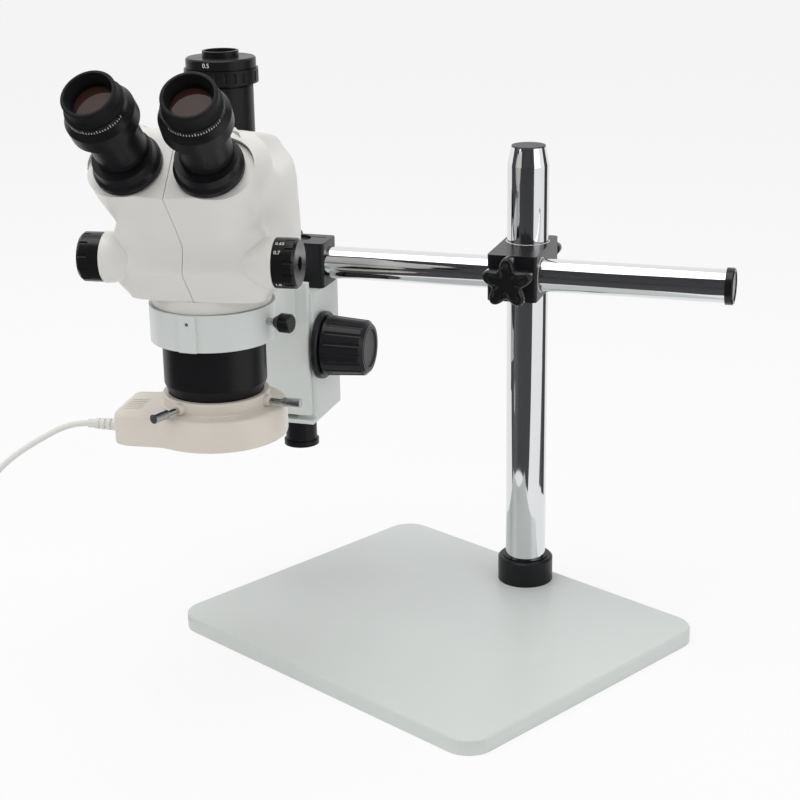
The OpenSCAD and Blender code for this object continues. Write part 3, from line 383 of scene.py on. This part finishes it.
# %% Casing of the head
LEVEL = np.array([9, 14, 17, 24, 33, 40, 43, 52, 60, 68.4, 79, 90.8, 98, 106, 113, 120, 126, 130])
FRONT = np.array([-41, -45, -47, -54, -62.5, -60.5, -59, -58.5, -65.4, -72.4, -82, -92.9] + [-95] * 6)
REAR = np.array([62, 66, 70, 74] + [75] * 10 + [74, 72, 70, 70])
FRONT_WIDTH = np.array([47, 49, 50, 49, 47.5, 47, 47, 47, 47.3, 49.5, 54, 57.6, 59.5, 60.5, 59, 55, 45, 33])
REAR_WIDTH = np.array([47, 50, 52, 55, 56, 56.5, 56.5, 56, 55.5, 55, 54.5, 52, 44.5, 40, 38, 36, 34, 33])
RIM_PASSES = 5
BOSS_CORE, BOSS_ROOT, BOSS_SWELL = 15, 29, 7.5
DECK = np.array([[-55.5, 129.5], [-30, 124], [0, 118.5], [26.7, 113], [45, 108.5], [68, 104], [80, 101.5]])


def smoothstep(value, low, high):
    """0 below low, 1 above high, and 3t^2 - 2t^3 between."""
    t = np.clip((value - low) / (high - low), 0, 1)
    return t * t * (3 - 2 * t)


def outline(angle, z):
    """Point of the rounded box at height z: x and y go as sine and cosine to the power 2/n."""
    front, rear = np.interp(z, LEVEL, FRONT), np.interp(z, LEVEL, REAR)
    power = np.where(angle < np.pi / 2, 2.6 + 1.1 * smoothstep(z, 20, 95), 4.5)
    cosine, sine = np.cos(angle), np.clip(np.sin(angle), 0, 1)
    reach = np.where(cosine > 0, -30 - front, rear + 30)
    y = -30 - np.sign(cosine) * reach * np.abs(cosine) ** (2 / power)
    rearward = smoothstep(y, -38, 20 - 32 * smoothstep(z, 88, 104))
    width = np.interp(z, LEVEL, FRONT_WIDTH) * (1 - rearward) + np.interp(z, LEVEL, REAR_WIDTH) * rearward
    return width * sine ** (2 / power), y


def top(x, y):
    """Height of the lid: the lower of the eyepiece face and the deck, with a soft change between them."""
    face = 90.8 + (y + 92.9) * (38.7 / 37.4) - 1.6 * np.exp(-(x / 9) ** 2)
    deck = np.interp(y, DECK[:, 0], DECK[:, 1])
    blend = np.clip(0.5 + (deck - face) / 6, 0, 1)
    return face * blend + deck * (1 - blend) - 1.5 * blend * (1 - blend)


def casing_columns(columns=130, side_rows=64, top_rows=26):
    """Columns of the half casing: up the outline to the rim, then inwards along the lid to the seam."""
    angle = np.linspace(0, np.pi, columns)
    tries = np.linspace(60, 131, 400)[:, None]
    x, y = outline(angle[None, :], tries)
    rim_z = tries[np.argmax(tries >= top(x, y), axis=0), 0]
    share = np.linspace(0, 1, side_rows)[:, None]
    z = LEVEL[0] + (rim_z[None, :] - LEVEL[0]) * share
    x, y = outline(np.broadcast_to(angle, z.shape), z)
    near_boss = 1 - smoothstep(np.hypot(y - ZOOM_Y, z - ZOOM_Z), BOSS_CORE, BOSS_ROOT)
    side = np.stack([x + BOSS_SWELL * near_boss * smoothstep(x, 22, 46), y, z], -1)
    inward = 1 - np.linspace(0, 1, top_rows)[1:, None]
    seam_y = np.linspace(side[-1, 0, 1], side[-1, -1, 1], columns)
    lid_x = inward * side[-1, :, 0]
    lid_y = inward * side[-1, :, 1] + (1 - inward) * seam_y
    lid = np.stack([lid_x, lid_y, top(lid_x, lid_y)], -1)
    points = np.vstack([side, lid])
    for _ in range(RIM_PASSES):
        points[1:-1] = points[1:-1] * 0.5 + (points[:-2] + points[2:]) * 0.25
        points[:, 1:-1] = points[:, 1:-1] * 0.5 + (points[:, :-2] + points[:, 2:]) * 0.25
    return points


half = casing_columns()
print("casing from", half.min((0, 1)), "to", half.max((0, 1)))

# %% [markdown]
# Each zoom knob's shaft leaves the casing through a round boss, cast in one piece with it and flared at
# its root. A turned shape is a profile of radius against height, carried round an axis. Each eyepiece
# stands in a long round recess of the sloping face. A Boolean cuts it through the casing's wall, because
# the grid has no row along its rim, and a shallow floor closes it.

# %% Turned shapes
def turned(profile, steps=96):
    """Revolves [radius, height] rows about z: x = r cos a, y = r sin a."""
    profile = np.array(profile, float)
    angle = np.linspace(0, 2 * np.pi, steps, endpoint=False)
    points = np.stack([profile[:, :1] * np.cos(angle), profile[:, :1] * np.sin(angle),
                       np.broadcast_to(profile[:, 1:], (len(profile), steps))], -1)
    return grid(points, around=True)


def within(surface, place):
    """The same surface in another frame of millimetres."""
    points, faces = surface
    return points @ place[:3, :3].T + place[:3, 3], faces


def cut(target, cutter):
    """Takes the cutter's volume out of the target; without use_self the exact solver fails on this wall."""
    modifier = target.modifiers.new("cut", "BOOLEAN")
    modifier.object, modifier.operation, modifier.solver = cutter, "DIFFERENCE", "EXACT"
    modifier.use_self = True
    made = bpy.data.meshes.new_from_object(target.evaluated_get(bpy.context.evaluated_depsgraph_get()))
    target.modifiers.clear()
    target.data = made
    made.shade_smooth()
    made.set_sharp_from_angle(angle=math.radians(35))
    bpy.data.objects.remove(cutter)


SEAT_STRETCH = 5.8


def long_seat(side, depths, radii):
    """Rows of a long round shape in the eyepiece face: a circle whose outer half is moved outwards."""
    angle = np.linspace(0, 2 * np.pi, 96, endpoint=False)
    depth, radius = np.array(depths)[:, None], np.array(radii)[:, None]
    shift = np.where(np.cos(angle) * side > 0, SEAT_STRETCH * side, 0.0) * np.sign(radius)
    points = np.stack([radius * np.cos(angle) + shift, radius * np.sin(angle),
                       np.broadcast_to(depth, (len(depths), len(angle)))], -1)
    return grid(points, around=True)


def seat_cutter(side):
    """The volume of the long round recess, slightly wider at the top."""
    mesh = bpy.data.meshes.new("cutter")
    surface = long_seat(side, [-1.4, -1.4, -1.0, 2.0, 12.0, 12.0], [0.0, 23.1, 23.1, 23.3, 23.6, 0.0])
    mesh.from_pydata(placed(surface[0], eye_frame(side)), [], surface[1].tolist())
    finished(mesh, 35)
    cutter = bpy.data.objects.new("cutter", mesh)
    bpy.context.scene.collection.objects.link(cutter)
    return cutter


zoom_boss = [[12, 38], [14.4, 45], [16.2, 49.5], [17.1, 53], [17.5, 56], [17.5, 58.9], [16.9, 59.5],
             [6, 59.5], [6, 50]]
for side, word in ((-1, "left"), (1, "right")):
    shape = half * (side, 1, 1) + (side * 0.2, 0, 0)
    shell = piece(word + "_casing", [grid(shape)], HEAD, "head", "head_paint", [word + "_shell"], 40)
    wall = shell.modifiers.new("wall", "SOLIDIFY")
    wall.thickness, wall.offset = 0.0022, -1
    cut(shell, seat_cutter(side))
    piece(word + "_zoom_boss", [turned(zoom_boss)], ZOOM_SHAFT @ turned_by(side * 90, "Y"), "head",
          "head_paint")
    seat = long_seat(side, [-1.3, -1.3, -2.6, -2.6], [0.0, 23.0, 23.0, 0.0])
    piece(word + "_seat_floor", [seat], eye_frame(side), "head", "head_paint")

# %% [markdown]
# The ring light is one cream moulding: a ring with a box at its side, both inside one smooth outline. The
# outline is a circle joined to a box whose corners are rounded, both as distances from the middle. Each row
# of the surface is a circle or that outline, at its own height, so one grid gives walls, lid and channel.
# Three small turned bosses take the clamping screws, and five stretched ones are the ribs on the box.

# %% Housing of the ring light
def light_outline(angle):
    """Distance from the axis: a p-norm minimum of the box's planes, then a p-norm maximum with the circle."""
    cosine, sine = np.cos(angle), np.sin(angle)
    planes = np.stack([-cosine / 65, -sine / 42, sine / 13.0])
    box = (np.clip(planes, 1e-4, None) ** 12).sum(0) ** (-1 / 12)
    box = np.where(cosine < -0.2, np.minimum(box, 90), 1.0)
    return (50.0 ** 26 + box ** 26) ** (1 / 26)


def carried(rows, outer, angle):
    """Rows [radius, share, grow, height]: radius + share (outer - radius) + grow; share 0 gives a circle."""
    rows = np.array(rows, float)
    radius = rows[:, :1] + rows[:, 1:2] * (outer - rows[:, :1])
    radius = radius + rows[:, 2:3]
    return np.stack([radius * np.cos(angle), radius * np.sin(angle),
                     np.broadcast_to(rows[:, 3:], radius.shape)], -1)


full_turn = np.linspace(0, 2 * np.pi, 256, endpoint=False)
light_rows = [[33.8, 0, 0, -65], [37.0, 0, 0, -65], [37.8, 0, 0, -65.8], [37.8, 0, 0, -73.2],
              [38.6, 0, 0, -74], [0, 1, -3, -74], [0, 1, -1.2, -74.5], [0, 1, -0.3, -75.6], [0, 1, 0, -77.5],
              [0, 1, 0, -94.5], [0, 1, -0.5, -96.2], [0, 1, -2, -97], [47, 0, 0, -97],
              [47, 0, 0, -80], [36.8, 0, 0, -80], [36.8, 0, 0, -97], [33.8, 0, 0, -97], [33.8, 0, 0, -65]]
surfaces = [grid(carried(light_rows, light_outline(full_turn), full_turn), around=True)]
screw_boss = [[0, 36.5], [4.6, 36.5], [4.4, 39], [4.2, 40.9], [3.8, 41.3], [2.1, 41.3], [2.1, 36.9],
              [0, 36.9]]
for degrees in (-115, -8, 118):
    outwards = turned_by(degrees, "Z") @ moved(0, 0, -70) @ turned_by(90, "Y")
    surfaces.append(within(turned(screw_boss, 40), outwards))
button_points, button_faces = turned([[0, 0], [0.9, 0], [0.7, 0.5], [0, 0.6]], 16)
vent_rib = (button_points * (9.0, 1, 1), button_faces)
for step in range(5):
    surfaces.append(within(vent_rib, moved(-54.5, -26 + 5 * step, -74.1) @ turned_by(12, "Z")))
piece("light_body", surfaces, HEAD, "ring_light", "light_plastic", ["light_housing"], 40)

# %% [markdown]
# The clamping knobs are five-lobed stars of glossy plastic, dished in front with a rounded rim. The lobes
# are a circle with a cosine wave on it, and the same rows and carrying are used as for the ring light.

# %% Star knobs
lobes = 15.9 + 3.75 * np.cos(5 * full_turn) - 0.15 * np.cos(10 * full_turn)
star_rows = [[0, 0, 0, 0], [9, 0, 0, 0], [9, 0, 0, 3.2], [0, 1, -3.2, 4.0], [0, 1, -1.0, 4.8], [0, 1, 0, 7.0],
             [0, 1, 0, 14.0], [0, 1, -0.5, 15.9], [0, 1, -1.7, 17.1], [0, 1, -3.0, 17.5], [0, 1, -4.2, 17.1],
             [0, 1, -5.4, 16.0], [5, 0, 0, 15.4], [0, 0, 0, 15.4]]
star = grid(carried(star_rows, lobes, full_turn), around=True)
piece("arm_star", [within(star, turned_by(90, "Z"))], BOOM @ moved(0, -52.26, ARM_Z) @ turned_by(90, "X"),
      "arm_lock", "black_plastic", ["arm_lock_knob"], 50)
piece("boom_star", [within(star, turned_by(-90, "Z"))], BOOM @ moved(0, 22.26, ARM_Z) @ turned_by(-90, "X"),
      "boom_lock", "black_plastic", ["boom_lock_knob"], 50)

# %% [markdown]
# Two small set-screw holes show on the right side, one in the focus body and one in the ring's arm. Each is
# a shallow dished disc, let into its face, and black: the black of the screw in it, and painted shade for
# the depth of the hole.

# %% Set-screw holes
dot = [[0, -0.35], [0.55, -0.3], [0.8, 0.04], [0.8, -1.0], [0, -1.0]]
# Black disc: the screw's own black, and painted shade for the depth of the hole.
piece("body_hole", [turned(dot, 24)], POST @ moved(26, -31.5, 254.6) @ turned_by(90, "Y"), "focus_base",
      "black_metal")
piece("arm_hole", [turned(dot, 24)], POST @ moved(14, -45.5, 254.4) @ turned_by(90, "Y"), "focus_slide",
      "black_metal")

# %% [markdown]
# The zoom knob carries its scale in small raised figures, and the camera's adapter one more. A text object
# gives the outlines, and its flat mesh is wrapped round the cylinder: the height of a letter becomes an
# angle, its thickness a radius.

# %% Figures of the scales
def figures(text, size):
    """Corners and faces of text, size millimetres high and 0.12 thick, as arrays in its own plane."""
    font = bpy.data.curves.new("figures", "FONT")
    font.body, font.size, font.extrude = text, size * 1.4, 0.06
    font.align_x, font.align_y = "LEFT", "CENTER"
    holder = bpy.data.objects.new("figures", font)
    bpy.context.scene.collection.objects.link(holder)
    mesh = bpy.data.meshes.new_from_object(holder.evaluated_get(bpy.context.evaluated_depsgraph_get()))
    bpy.data.objects.remove(holder)
    work = bmesh.new()
    work.from_mesh(mesh)
    bmesh.ops.triangulate(work, faces=work.faces)
    work.to_mesh(mesh)
    work.free()
    flat = np.empty(len(mesh.vertices) * 3)
    mesh.vertices.foreach_get("co", flat)
    corners = np.empty(len(mesh.polygons) * 3, int)
    mesh.polygons.foreach_get("vertices", corners)
    return flat.reshape(-1, 3), corners.reshape(-1, 3)


def along_axis(flat, radius, degrees, start):
    """Reading runs along x, letter height round the x axis: angle = degrees + v / radius, from -y to +z."""
    angle = math.radians(degrees) + flat[:, 1] / radius
    out = radius + 0.03 + flat[:, 2]
    return np.stack([start + flat[:, 0], -out * np.cos(angle), out * np.sin(angle)], -1)


def round_axis(flat, radius, degrees, height):
    """Reading runs round the z axis, letters stand along it: angle = degrees + u / radius."""
    angle = math.radians(degrees) + flat[:, 0] / radius
    out = radius + 0.03 + flat[:, 2]
    return np.stack([out * np.cos(angle), out * np.sin(angle), height + flat[:, 1]], -1)


scale = []
for text, degrees in (("0.65", 61), ("0.7", 36.5), ("1.0", -45)):
    flat, faces = figures(text, 2.6)
    scale.append((along_axis(flat, 17.0, degrees, 61.2), faces))
piece("zoom_scale", scale, ZOOM_SHAFT, "zoom_drive", "nylon")
flat, faces = figures("0.5", 3.0)
piece("adapter_figure", [(round_axis(flat, 24.4, -104, 158.6), faces)], HEAD @ moved(0, 45.5, 0), "head",
      "nylon")

# %% [markdown]
# Each eyepiece tube has a small bracket engraved on it, and the turning ring has fine white ticks. Both are
# thin strips that are wrapped round the tube in the same way as the figures.

# %% Marks on the eyepieces
def strip(left, right, low, high):
    """A flat rectangle from (left, low) to (right, high), cut into columns so that it can be bent."""
    across, up = np.meshgrid(np.linspace(left, right, 9), np.linspace(low, high, 2), indexing="ij")
    return grid(np.stack([across, up, np.full(across.shape, 0.02)], -1))


for side, word in ((-1, "left"), (1, "right")):
    place = eye_frame(side) @ moved(0, 2.5, 0)
    bracket = [strip(-3.2, 3.2, 0, 0.8), strip(-3.2, -2.4, 0.8, 5.5), strip(2.4, 3.2, 0.8, 5.5)]
    piece(word + "_bracket", [(round_axis(flat, 17.5, -62, 21.5), faces) for flat, faces in bracket], place,
          word + "_pod", "eyecup_rubber")
    ticks = [strip(1.8 * step - 0.16, 1.8 * step + 0.16, 0, 1.6 + 0.9 * (step % 5 == 0))
             for step in range(-10, 11)]
    piece(word + "_ticks", [(round_axis(flat, 20.0, -75, 59.3), faces) for flat, faces in ticks], place,
          word + "_dioptre", "nylon")

# %% [markdown]
# A free cord keeps its length. This one leaves the ring light's box, falls to the table to the left, and is
# wound into a neat coil of three layers, held by a small tie, before it ends in its plug.

# %% Cord of the ring light
ROUTE = np.array([
    [-132.8, -217.3, 196], [-139, -221.5, 195.6], [-146, -226, 193.5], [-153, -230.6, 189.5],
    [-160, -236, 184.5], [-167, -242, 179], [-175, -249, 172.5], [-184, -257, 163], [-193, -264, 151],
    [-201, -269.5, 136], [-208, -273.5, 118], [-213, -276, 98], [-217, -278, 77], [-220, -280, 57],
    [-222.5, -283, 38], [-224.5, -288, 21], [-225.5, -297, 8.5], [-225.6, -309, 3]])
WINDING = np.array([
    [0, 36.8, 2.2], [0.15, 32.4, 2.2], [1, 32.4, 2.2], [1.15, 28, 2.2], [2, 28, 2.2], [2.15, 23.6, 2.2],
    [3.15, 23.6, 2.2], [3.35, 23.6, 6.6], [4, 23.6, 6.6], [4.15, 28, 6.6], [5, 28, 6.6], [5.15, 32.4, 6.6],
    [6.15, 32.4, 6.6], [6.35, 32.4, 11], [6.55, 28, 11], [6.9, 28, 11], [7.1, 33, 12.5], [7.17, 35, 16],
    [7.241, 32.8, 18.7]])
COIL_X, COIL_Y = -258, -340.1
CORD_DIAMETER = 0.0044


def smoothed(points, spacing, passes):
    """Resamples a path to even steps and averages each point with its neighbours."""
    for _ in range(passes):
        points = np.vstack([points[:1], points[1:-1] * 0.5 + (points[:-2] + points[2:]) * 0.25, points[-1:]])
    distance = np.concatenate([[0], np.cumsum(np.linalg.norm(np.diff(points, axis=0), axis=1))])
    wanted = np.linspace(0, distance[-1], int(distance[-1] / spacing) + 1)
    return np.stack([np.interp(wanted, distance, points[:, axis]) for axis in range(3)], -1)


def cord_path():
    """The fall to the table, then the coil: x = r cos a, y = r sin a with a falling as the turns go on."""
    turns = np.arange(0, WINDING[-1, 0], 1 / 72)
    radius = np.interp(turns, WINDING[:, 0], WINDING[:, 1])
    angle = math.radians(28.2) - 2 * np.pi * turns
    coil = np.stack([COIL_X + radius * np.cos(angle), COIL_Y + radius * np.sin(angle),
                     np.interp(turns, WINDING[:, 0], WINDING[:, 2])], -1)
    return smoothed(smoothed(np.vstack([smoothed(ROUTE, 2.5, 0), coil]), 2.0, 10), 2.5, 4)


path = cord_path() / 1000
curve = bpy.data.curves.new("light_cord", "CURVE")
curve.dimensions, curve.use_fill_caps = "3D", True
curve.bevel_depth, curve.bevel_resolution = CORD_DIAMETER / 2, 4
spline = curve.splines.new("POLY")
spline.points.add(len(path) - 1)
spline.points.foreach_set("co", np.hstack([path, np.ones((len(path), 1))]).ravel())
cord = bpy.data.objects.new("light_cord", curve)
bpy.context.scene.collection.objects.link(cord)
curve.materials.append(finishes["cord_plastic"])
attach(cord, body_of_node["cord"])
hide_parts("cord", "cord_coil")


def tie_band(degrees, width=5.0, thickness=0.7):
    """A strap round the coil: a rounded box in radius and height, as wide as width along the coil."""
    turn = np.linspace(0, 2 * np.pi, 48, endpoint=False)
    cosine, sine = np.cos(turn), np.sin(turn)
    wrap = np.sign(np.stack([cosine, sine], -1)) * np.abs(np.stack([cosine, sine], -1)) ** 0.6
    rows = []
    for grow, shift in ((0, -0.5), (thickness, -0.5), (thickness, 0.5), (0, 0.5), (0, -0.5)):
        section = (28, 6.95) + wrap * (6.9 + grow, 6.2 + grow)
        rows.append(np.stack([section[:, 0], np.full(48, shift * width), section[:, 1]], -1))
    return within(grid(np.array(rows), around=True), moved(COIL_X, COIL_Y, 0) @ turned_by(degrees, "Z"))


tie = piece("cord_tie", [tie_band(118)], ROOT, "stand", "black_plastic")

# %% [markdown]
# A plain studio: a white floor, a white surround, one large lamp above, one on the right and one in front.
# The camera and reflections see the floor nearly white, but with part of its shading, so the soft shadow
# stays. Two black cards beside the stand are seen by reflections only: bright metal shows dark bands where
# it reflects them, as chrome does in a real studio.

# %% Floor, surround and lamps
def lamp(name, place, target, width, power):
    """A square area lamp of width metres, turned to face target."""
    light = bpy.data.objects.new(name, bpy.data.lights.new(name, "AREA"))
    light.data.energy, light.data.size, light.data.shape = power, width, "SQUARE"
    bpy.context.scene.collection.objects.link(light)
    forward = np.subtract(target, place) + (1e-4, 0, 0)  # never exactly upright, which has no right side
    light.matrix_world = Matrix(camera_matrix(np.array(place), forward, 0))
    print(name, power, "W")


lamp("top_lamp", (-0.1, -0.3, 1.9), (0, 0, 0.1), 1.4, 15)
lamp("right_lamp", (1.9, 0.2, 0.9), (0, 0, 0.25), 1.1, 5)
lamp("front_lamp", (-0.9, -1.8, 1.2), (0, 0, 0.25), 1.1, 6.5)

FLOOR_HALF = 9000.0
corners = [[[x, y, 0.0] for y in (-FLOOR_HALF, FLOOR_HALF)] for x in (-FLOOR_HALF, FLOOR_HALF)]
floor = piece("floor", [grid(np.array(corners))], ROOT, "stand", "stand_paint")
CARD_FAR, CARD_LEAN = 2400, 1500


def card(name, degrees, spread, near, high):
    """A black card that only reflections see: over the floor from near millimetres on, then up to high."""
    angle = np.radians(np.linspace(degrees - spread, degrees + spread, 24))[:, None]
    reach = np.array([[near, CARD_FAR, CARD_FAR, CARD_LEAN]])
    points = np.stack([reach * np.cos(angle), reach * np.sin(angle),
                       np.array([[1.5, 1.5, high, high * 2]]) + 0 * angle], -1)
    made = piece(name, [grid(points)], ROOT, "stand", "dark_plastic")
    made.visible_camera = made.visible_diffuse = made.visible_shadow = made.visible_transmission = False


card("left_card", -84, 70, 200, 1500)
card("right_card", 62, 16, 330, 1500)
GROUND_WHITE, SKY_STRENGTH = 0.8, 0.52
ground = Finish("ground", (0.95, 0.95, 0.95), Roughness=1.0)
ground.shade(0.005, 0.5)
white = ground.node("ShaderNodeEmission", {}, {"Color": (1, 1, 1, 1), "Strength": 1.0})
camera_ray, gloss_ray, glass_ray = ground.background_rays()
seen = (camera_ray + gloss_ray + glass_ray) * GROUND_WHITE
shaded = Socket(ground, ground.shader.outputs[0])
mixed = ground.node("ShaderNodeMixShader", {}, {0: seen, 1: shaded, 2: white})
ground.feed(ground.tree.nodes["Material Output"].inputs["Surface"], mixed)
floor.data.materials[0] = ground.material

world = bpy.context.scene.world or bpy.data.worlds.new("world")
bpy.context.scene.world = world
world.use_nodes = True
sky = Recipe(world.node_tree)
camera_ray, gloss_ray, glass_ray = sky.background_rays()
seen = camera_ray.math("MAXIMUM", camera_ray, gloss_ray.math("MAXIMUM", gloss_ray, glass_ray))
strength = sky.node("ShaderNodeMapRange", {}, {"Value": seen, "To Min": SKY_STRENGTH})
background = world.node_tree.nodes["Background"]
sky.feed(background.inputs["Color"], (1, 1, 1, 1))
sky.feed(background.inputs["Strength"], strength)
print("surround", SKY_STRENGTH)
